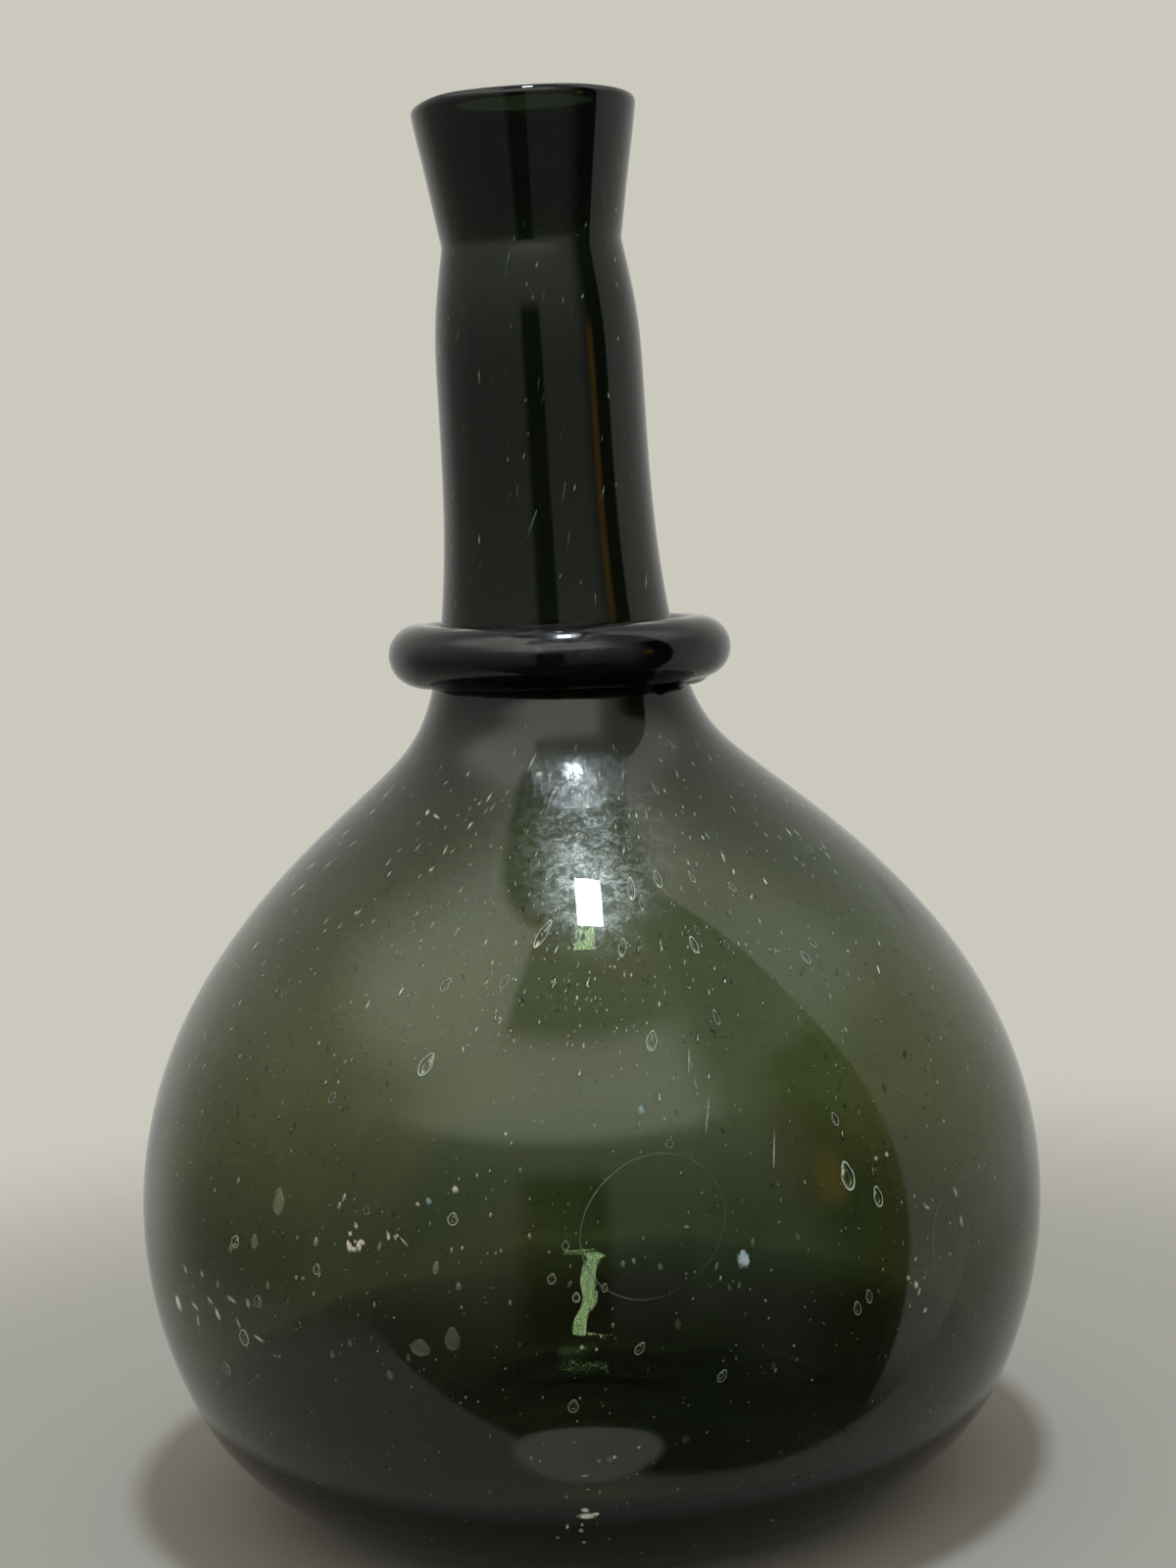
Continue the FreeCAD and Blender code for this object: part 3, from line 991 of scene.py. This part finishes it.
def clear_seeds():
    seats = []
    for pixel, width, length, lean, _ in CLEAR_SEEDS:
        place, facing = seen_at(pixel)
        wide, long = spans(place, facing, width, length)
        thick = min(wide, CLEAR_THICK)
        depth = (CLEAR_COVER + thick / 2) * MM
        seats.append((seat(place, facing, lean, (thick, wide, long), depth), CLEAR_BRIGHT))
    return seats


def laid_flat(flakes, thick, depth):
    """Seats in the face of the glass for what is seen singly."""
    seats = []
    for pixel, width, length, lean, bright in flakes:
        place, facing = seen_at(pixel)
        size = (thick, *spans(place, facing, width, length))
        seats.append((seat(place, facing, lean, size, depth * MM), bright))
    return seats


# Bruises: small cracks, flakes and specks in drifts, whose pale colour partly paints the glints that the
# cracks catch; the three pale flakes at the heel's front, near pixel (599, 1547), are only a painted glint.
# Pixel, width and length in pixels, lean, how bright
BRUISES_AND_PAINTED_GLINTS = (
    ((182, 1330), 6, 18, 42, 1.0), ((199, 1333), 3, 17, 66, 0.5), ((202, 1347), 3, 13, -6, 0.5),
    ((214, 1327), 3, 12, 62, 0.5), ((222, 1341), 4, 14, 32, 0.9), ((236, 1326), 3, 16, 74, 0.5),
    ((243, 1350), 3, 14, 30, 0.35), ((264, 1366), 3, 16, 72, 0.5), ((253, 1330), 5, 11, 10, 0.3),
    ((189, 1295), 3, 12, 52, 0.4), ((206, 1300), 3, 8, 40, 0.4), ((935, 1311), 5, 9, 20, 0.6),
    ((927, 1304), 4, 6, 0, 0.5), ((944, 1337), 5, 6, 30, 0.5), ((938, 1318), 3, 10, -30, 0.5),
    ((946, 1232), 3, 9, 60, 0.4), ((975, 1216), 3, 12, 20, 0.4), ((981, 1246), 3, 14, 5, 0.4),
    ((905, 1178), 4, 6, 0, 0.5), ((894, 1182), 4, 5, 0, 0.5), ((703, 1082), 2, 30, -12, 0.3),
    ((722, 1138), 2, 40, -16, 0.3), ((790, 1170), 2, 45, -14, 0.3), ((412, 1267), 2, 15, 45, 0.5),
    ((403, 1263), 2, 6, 30, 0.6), ((445, 833), 3, 12, 60, 0.5), ((436, 829), 4, 8, 20, 0.6),
    ((543, 777), 3, 18, -20, 0.6), ((550, 790), 8, 6, 30, 0.5), ((599, 1547), 22, 7, 0, 1.0),
    ((597, 1541), 10, 5, 0, 0.8), ((608, 1545), 9, 4, 0, 1.0), ((542, 1488), 4, 4, 0, 0.3),
    ((551, 1491), 3, 4, 0, 0.3), ((627, 1487), 5, 4, 0, 0.6), ((652, 1477), 4, 3, 0, 0.6),
    ((611, 1491), 4, 4, 0, 0.25), ((597, 1506), 8, 3, 0, 0.4), ((600, 1520), 6, 2, 0, 0.3),
    ((612, 1523), 3, 3, 0, 0.3), ((578, 1528), 4, 4, 0, 0.2), ((579, 1558), 3, 5, -10, 0.9),
    ((594, 1556), 3, 3, 0, 0.7), ((593, 1562), 6, 4, 0, 0.4), ((569, 1569), 4, 3, 0, 0.3),
    ((596, 1574), 5, 3, 0, 0.5),
)

# Blisters: rims of flat bubbles. Pixel of the middle, half width and half length, depth
BLISTERS = (((667, 1252), 12.6, 12.2, 0.5), ((966, 1275), 3.6, 8.8, 0.5))
BLISTER_SLANT = 0.08
BLISTER_RIM = 0.18
BLISTER_STEPS = 96
BLISTER_SIDES = 8
# The torus that a rim starts from has this tube, and is laid onto the glass from this far away
BLISTER_TUBE = 0.02
BLISTER_DROP = 20
# How bright a rim is below, at its left and at its right, and how narrow each of these is
BLISTER_BRIGHT = 192.0
BLISTER_SHINE = ((0.12, 2), (0.7, 5), (0.25, 8))


def shine_round(vertex):
    """How bright a rim is: most at its left, less at its right, hardly at all between."""
    turn = math.radians(vertex.index // BLISTER_SIDES * 360 / BLISTER_STEPS - BLISTER_BRIGHT)
    ways = (-math.sin(turn), math.cos(turn), -math.cos(turn))
    return sum(most * ((1 + way) / 2) ** narrow for way, (most, narrow) in zip(ways, BLISTER_SHINE))


def lay_blister(pixel, half_width, half_length, depth):
    """A thin rim of air, laid into the glass so that it follows the wall."""
    place, facing = seen_at(pixel)
    by_hand()
    bpy.ops.mesh.primitive_torus_add(major_radius=1, minor_radius=BLISTER_TUBE,
                                     major_segments=BLISTER_STEPS, minor_segments=BLISTER_SIDES)
    rim = named("blister")
    level = seat(place, facing, 0, (1, half_width, half_length), 0)
    for vertex in rim.data.vertices:
        flat = vertex.co.xy.normalized()
        across = (vertex.co.xy.length - 1) / BLISTER_TUBE * BLISTER_RIM * MM
        rise = vertex.co.z / BLISTER_TUBE * BLISTER_RIM * MM
        uneven = 1 + BLISTER_SLANT * math.sin(2 * math.atan2(flat.y, flat.x))
        middle = level @ Vector((0, flat.x * uneven, flat.y * uneven))
        outward = (middle - place).normalized()
        _, skin, away, _ = vessel.ray_cast(middle + facing * BLISTER_DROP * MM, -facing)
        vertex.co = skin - away * depth * MM + outward * across + away * rise
    bpy.ops.object.shade_smooth()
    let_shine(rim, shine_round)
    return rim


def blisters():
    piece = join([lay_blister(*blister) for blister in BLISTERS], "blister_rims")
    face_outwards(piece)
    return piece


# Stones in the glass and crust on it: pixel, width and length in pixels, lean, how pale
STONES = (((758, 1285), 13, 17, 4, 1.0), ((654, 1133), 8, 10, 0, 0.5), ((437, 1226), 6, 8, 30, 0.35))
STONE_THICK = 0.6
STONE_DEPTH = 0.16
CRUST = (
    ((356, 1272), 6, 12, 22, 1.0), ((361, 1275), 5, 7, 60, 0.9), ((366, 1271), 6, 12, -12, 1.0),
    ((370, 1268), 4, 6, 30, 0.8), ((362, 1267), 3, 4, 0, 0.7), ((357, 1259), 4, 5, 0, 0.9),
    ((363, 1251), 4, 7, 20, 0.5), ((396, 1262), 4, 8, 5, 0.8), ((387, 1272), 3, 9, -10, 0.4),
    ((405, 1261), 3, 4, 0, 0.7), ((426, 1229), 4, 5, 50, 0.8), ((464, 1214), 7, 8, 20, 0.6),
)
CRUST_THICK = 0.6
CRUST_DEPTH = 0.15

# Where the shoulder is scuffed and scraped
SCUFFED_PIXEL = (608, 864)
SCRAPED_PIXEL = (587, 785)


def finish_copies(name, pattern, seats, material):
    """Finish many copies of a pattern as one piece of what the vessel's glass holds."""
    finish_piece(set_copies(name, pattern, seats), "vessel_glass", material)


bpy.context.view_layer.update()
worn_glass = vessel_glass(seen_at(SCUFFED_PIXEL)[0], seen_at(SCRAPED_PIXEL)[0])
finish_piece(vessel, "vessel_glass", worn_glass, "blown_vessel")
finish_piece(wind_ring(), "ring_glass", ring_glass(), "neck_ring")
finish_piece(break_scar(), "scar_glass", scar_glass(), "pontil_scar")
air = bubble_skin()
finish_copies("seeds", model_seed("seed", COARSE, ALL_BRIGHT), scattered_seeds(), air)
finish_copies("clear_seeds", model_seed("clear_seed", FINE, CLEAR_FACED), clear_seeds(), air)
# Pale dust in open seeds, also used as painted highlight on seed rims and painted glints among the bruises
dust = stone_crust("seed_dust_and_glint", *DUST_AND_GLINT_COLOURS)
finish_copies("open_seeds", model_seed("open_seed", COARSE, ALL_BRIGHT), open_seeds(), dust)
# Pale rings round the clear seeds: a painted highlight for their bright outlines
finish_copies("seed_rims", model_rim("seed_rim"), laid_flat(CLEAR_SEEDS, RIM_THICK, RIM_DEPTH), dust)
finish_copies("faint_seeds", model_seed("faint_seed", FINE, ALL_BRIGHT),
              laid_flat(FAINT_SEEDS, FAINT_THICK, FAINT_DEPTH), air)
# Bruises, partly painted glints, and a painted glint of pale flakes at the heel's front
finish_copies("bruises", model_seed("bruise", MIDDLING, ALL_BRIGHT),
              laid_flat(BRUISES_AND_PAINTED_GLINTS, OPEN_DEPTH, OPEN_DEPTH / 2 - PROUD), dust)
finish_piece(blisters(), "vessel_glass", air)
pale_stone = stone_crust("pale_stone", *STONE_COLOURS)
finish_copies("stones", model_lump("stone"), laid_flat(STONES, STONE_THICK, STONE_DEPTH), pale_stone)
lime = stone_crust("lime_crust", *CRUST_COLOURS)
finish_copies("crust", model_lump("crust_lump"), laid_flat(CRUST, CRUST_THICK, CRUST_DEPTH), lime)

# World
STUDIO_GREY = (0.60, 0.58, 0.51, 1)
world = bpy.data.worlds.new("studio")
bpy.context.scene.world = world
world.use_nodes = True
world.node_tree.nodes["Background"].inputs["Color"].default_value = STUDIO_GREY
world.node_tree.nodes["Background"].inputs["Strength"].default_value = 1.0

# Floor, in metres: a disc a little under the base, which fades into the background. As the glass mirrors
# it, it ends in front of the bottle, but for a paler tongue, a pool of painted light that only reflections
# see
FLOOR_RADIUS = 0.6
FLOOR_STEPS = 96
FLOOR_DROP = 0.0003
FLOOR_ROUGHNESS = 0.9
FLOOR_GREY = (0.40, 0.375, 0.35, 1)
FLOOR_FADES = (0.16, 0.36)
FLOOR_FRONT_WAY = (0.37, -0.93, 0)
FLOOR_FRONT_FADES = (0.096, 0.101)
TONGUE_MIDDLE = (-0.006, -0.114, 0)
TONGUE_SIZE = (0.028, 0.0155, 1)
TONGUE_FADES = (0.8, 1.0)
PAINTED_LIGHT_TONGUE_GREY = (0.80, 0.78, 0.72, 1)


def mirrored(tree):
    """One for light that a surface has mirrored on its way, and none for other light."""
    bounces = add_node(tree, "ShaderNodeLightPath", {}).outputs["Glossy Depth"]
    return math_of(tree, "GREATER_THAN", bounces, 0.5)


def show_where(tree, share, first, second):
    """The first shader, and the second where a share says so."""
    shown = add_node(tree, "ShaderNodeMixShader", {"Fac": share, 1: first, 2: second})
    tree.links.new(shown.outputs["Shader"], tree.nodes["Material Output"].inputs["Surface"])


def vector_of(tree, operation, *values):
    node = add_node(tree, "ShaderNodeVectorMath", dict(enumerate(values)), operation=operation)
    return node.outputs["Value" if operation in ("LENGTH", "DOT_PRODUCT") else "Vector"]


def lay_floor():
    """A plain pale floor, with a paler tongue of painted light that only reflections see."""
    by_hand()
    bpy.ops.mesh.primitive_circle_add(vertices=FLOOR_STEPS, radius=FLOOR_RADIUS, fill_type="NGON")
    floor = named("floor")
    bpy.ops.object.mode_set(mode="EDIT")
    bpy.ops.transform.translate(value=(0, 0, -FLOOR_DROP))
    bpy.ops.object.mode_set(mode="OBJECT")
    material, tree, skin, place = new_material("floor")
    skin.inputs["Roughness"].default_value = FLOOR_ROUGHNESS
    forward = vector_of(tree, "DOT_PRODUCT", place, FLOOR_FRONT_WAY)
    past_front = smooth_step(tree, forward, *FLOOR_FRONT_FADES)
    from_tongue = vector_of(tree, "SUBTRACT", place, TONGUE_MIDDLE)
    reach = vector_of(tree, "LENGTH", vector_of(tree, "DIVIDE", from_tongue, TONGUE_SIZE))
    past_tongue = smooth_step(tree, reach, *TONGUE_FADES)
    # The tongue's paler colour is painted light, seen only by rays that a surface has mirrored
    painted_light_in_tongue = times(tree, math_of(tree, "SUBTRACT", 1.0, past_tongue), mirrored(tree))
    tree.links.new(mix_colours(tree, painted_light_in_tongue, FLOOR_GREY, PAINTED_LIGHT_TONGUE_GREY), skin.inputs["Base Color"])
    past_edge = times(tree, past_front, past_tongue, mirrored(tree))
    far_off = smooth_step(tree, vector_of(tree, "LENGTH", place), *FLOOR_FADES)
    clear = add_node(tree, "ShaderNodeBsdfTransparent", {})
    gone = math_of(tree, "MAXIMUM", far_off, past_edge)
    show_where(tree, gone, skin.outputs["BSDF"], clear.outputs["BSDF"])
    floor.data.materials.append(material)


# Soft greys of the studio as the glass mirrors them, on a dome of a radius in metres. A turn is from the
# front towards the right, and a rise is above the level. Levels are (rise, grey). A panel has the turns,
# then the rises, between which it fades in and out, and its grey
DOME_RADIUS = 1.7
DOME_STEPS = 96
DOME_RINGS = 48
LEVEL_GREYS = ((-90, 0.05), (-35, 0.06), (-14, 0.16), (5, 0.26), (22, 0.42), (34, 0.62), (54, 0.66),
               (60, 0.62), (70, 0.66), (74, 0.60), (77, 0.24), (90, 0.2))
LEFT_LIGHT = ((-122, -80, -34, -28), (36, 52, 73.5, 76.5), 1.85)
FRONT_LIGHT = ((-70, -22, 26, 46), (29, 34.5, 52, 60), 1.75)
LEFT_LOW_CARD = ((-150, -120, -75, -45), (-60, -45, -15, 5), 0.24)
RIGHT_CARD = ((80, 82, 115, 140), (-45, -25, 15, 40), 0.48)
RIGHT_UPPER_CARD = ((80, 82, 98, 132), (28, 50, 70, 76), 1.3)
GREY_SIDE_CARD = ((40, 56, 79.5, 81.5), (34, 46, 70, 76), 0.45)
DARK_SIDE_CARD = ((42, 66, 79.5, 81.5), (-46, -38, 36, 44), 0.04)
DARK_CARD = ((-21, -13, 2, 6), (-60, -50, 20, 26), 0.05)
LOW_CARD = ((-40, -24, 28, 44), (-64, -54, -26, -8), 0.05)
PANELS = (LEFT_LIGHT, FRONT_LIGHT, LEFT_LOW_CARD, RIGHT_CARD, RIGHT_UPPER_CARD, GREY_SIDE_CARD,
          DARK_SIDE_CARD, DARK_CARD, LOW_CARD)
# The same behind the bottle, and the turns between which it fades in
BACK_TURNS = (105, 140)
BACK_GREYS = ((-90, 0.25), (-25, 0.34), (-5, 0.53), (12, 0.6), (90, 0.58))
BACK_LIGHT = ((158, 165, 181, 182), (34, 40, 60, 66), 1.8)
WARM_LIGHT = ((54, 59, 61, 66), (3, 8, 13, 20))
AMBER = (0.55, 0.31, 0.09, 1)
STUDIO_WARMTH = (1.0, 1.01, 0.94, 1)
# A slanted strip overhead, in metres, for light that has passed four walls and that the heel mirrors
STRIP_MIDDLE = (0.042, -0.04)
STRIP_HALF = (0.044, 0.062)
STRIP_CORE = 0.9
STRIP_SLANT = 1.5
STRIP_LIGHT = (130, 150, 195, 1)
FOUR_WALLS = 3.5


def hang_dome():
    """A dome that only mirrored light sees."""
    by_hand()
    bpy.ops.mesh.primitive_uv_sphere_add(segments=DOME_STEPS, ring_count=DOME_RINGS, radius=DOME_RADIUS)
    dome = named("reflection_dome")
    bpy.ops.object.mode_set(mode="EDIT")
    bpy.ops.mesh.flip_normals()
    bpy.ops.object.mode_set(mode="OBJECT")
    material, tree, skin, place = new_material("reflection_dome")
    tree.nodes.remove(skin)
    parts = add_node(tree, "ShaderNodeSeparateXYZ", {"Vector": vector_of(tree, "NORMALIZE", place)})
    toward = times(tree, parts.outputs["Y"], -1.0)
    turn = math_of(tree, "DEGREES", math_of(tree, "ARCTAN2", parts.outputs["X"], toward))
    to_side = math_of(tree, "ABSOLUTE", turn)
    rise = math_of(tree, "DEGREES", math_of(tree, "ARCSINE", parts.outputs["Z"]))

    def blend(share, first, second):
        return add_node(tree, "ShaderNodeMix", {0: share, 2: first, 3: second}).outputs[0]

    def panel(round_axis, turns, rises):
        share = 1.0
        for value, (start, full, fades, end) in ((round_axis, turns), (rise, rises)):
            share = times(tree, share, smooth_step(tree, value, start, full))
            share = times(tree, share, smooth_step(tree, value, end, fades))
        return share

    def by_level(greys):
        stops = [(at + 90, (grey, grey, grey)) for at, grey in greys]
        return ramp(tree, math_of(tree, "ADD", rise, 90.0), stops, 180)

    studio = by_level(LEVEL_GREYS)
    for turns, rises, grey in PANELS:
        studio = blend(panel(turn, turns, rises), studio, grey)
    studio = blend(smooth_step(tree, to_side, *BACK_TURNS), studio, by_level(BACK_GREYS))
    turns, rises, grey = BACK_LIGHT
    studio = blend(panel(to_side, turns, rises), studio, grey)
    warm = lay_over(tree, studio, STUDIO_WARMTH)
    lit = mix_colours(tree, panel(turn, *WARM_LIGHT), warm, AMBER)

    over = add_node(tree, "ShaderNodeSeparateXYZ", {"Vector": place})
    back = math_of(tree, "SUBTRACT", over.outputs["Y"], STRIP_MIDDLE[1])
    side = math_of(tree, "SUBTRACT", over.outputs["X"], STRIP_MIDDLE[0])
    side = math_of(tree, "ADD", side, times(tree, back, STRIP_SLANT))
    walls_passed = add_node(tree, "ShaderNodeLightPath", {}).outputs["Transmission Depth"]
    strip = times(tree, math_of(tree, "GREATER_THAN", walls_passed, FOUR_WALLS),
                  math_of(tree, "GREATER_THAN", rise, 0.0))
    for value, half in zip((side, back), STRIP_HALF):
        within = smooth_step(tree, math_of(tree, "ABSOLUTE", value), half, half * STRIP_CORE)
        strip = times(tree, strip, within)
    lit = mix_colours(tree, strip, lit, STRIP_LIGHT)

    glow = add_node(tree, "ShaderNodeEmission", {"Color": lit})
    clear = add_node(tree, "ShaderNodeBsdfTransparent", {})
    show_where(tree, mirrored(tree), clear.outputs["BSDF"], glow.outputs["Emission"])
    material.cycles.emission_sampling = "NONE"
    dome.data.materials.append(material)
    dome.visible_camera = False
    dome.visible_diffuse = False
    dome.visible_shadow = False


# Lamp: size, way and distance in metres from the point that it is aimed at
LAMP_SIZE = (0.125, 0.19)
LAMP_AIM = Vector((0, 0, 0.1))
LAMP_WAY = Vector((0.06, -0.168, 0.983))
LAMP_AWAY = 1.3
LAMP_TURN = -20.0
LAMP_POWER = 8.5
LAMP_COLOUR = (0.80, 0.94, 1.0)


def hang_lamp():
    lamp_data = bpy.data.lights.new("soft_lamp", "AREA")
    lamp_data.shape = "RECTANGLE"
    lamp_data.size, lamp_data.size_y = LAMP_SIZE
    lamp_data.energy = LAMP_POWER
    lamp_data.color = LAMP_COLOUR
    lamp = bpy.data.objects.new("soft_lamp", lamp_data)
    bpy.context.scene.collection.objects.link(lamp)
    lamp.location = LAMP_AIM + LAMP_WAY * LAMP_AWAY
    aimed = LAMP_WAY.to_track_quat("Z", "Y") @ Quaternion((0, 0, 1), math.radians(LAMP_TURN))
    lamp.rotation_euler = aimed.to_euler()
    lamp.visible_camera = False


lay_floor()
hang_dome()
hang_lamp()

bpy.context.scene.view_settings.view_transform = "Standard"
